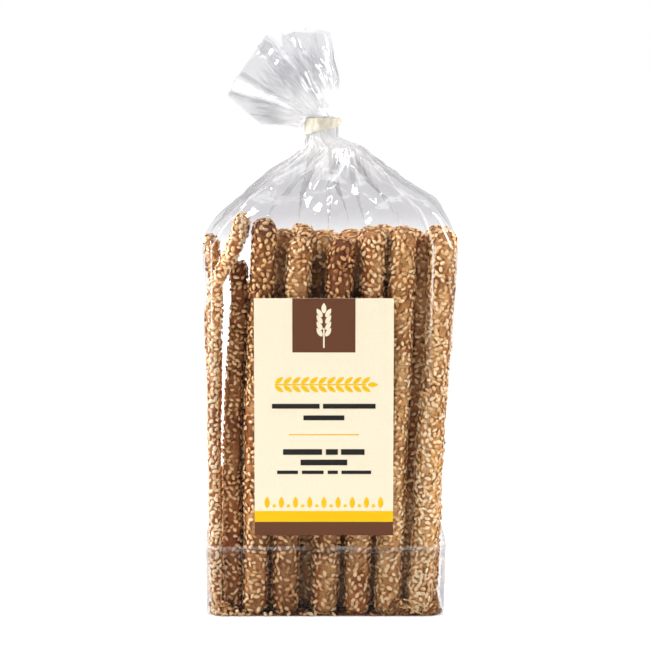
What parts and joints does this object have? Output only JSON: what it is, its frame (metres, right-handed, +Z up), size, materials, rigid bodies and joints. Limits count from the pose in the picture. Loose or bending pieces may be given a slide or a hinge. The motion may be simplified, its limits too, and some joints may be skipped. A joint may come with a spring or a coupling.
{
  "type": "bag of grissini breadsticks",
  "caption": "Clear film bag of upright sesame grissini, gathered and tied at the neck, with a paper label on its front.",
  "frame": {"origin": "middle of the footprint, on the surface that the bag stands on", "axes": "+Z up along the standing sticks, -Y out of the labelled front, +X to the right as seen from the front"},
  "size_m": [0.116, 0.0627, 0.2645],
  "materials": {
    "sticks_in_film": "clear glossy film over seeded golden brown crust",
    "tie_band": "cream tape, satin",
    "label_paper": "smooth cream paper with brown and yellow print"
  },
  "bodies": {
    "root": {"bag": "sticks_in_film", "band": "tie_band", "label": "label_paper"}
  },
  "joints": []
}
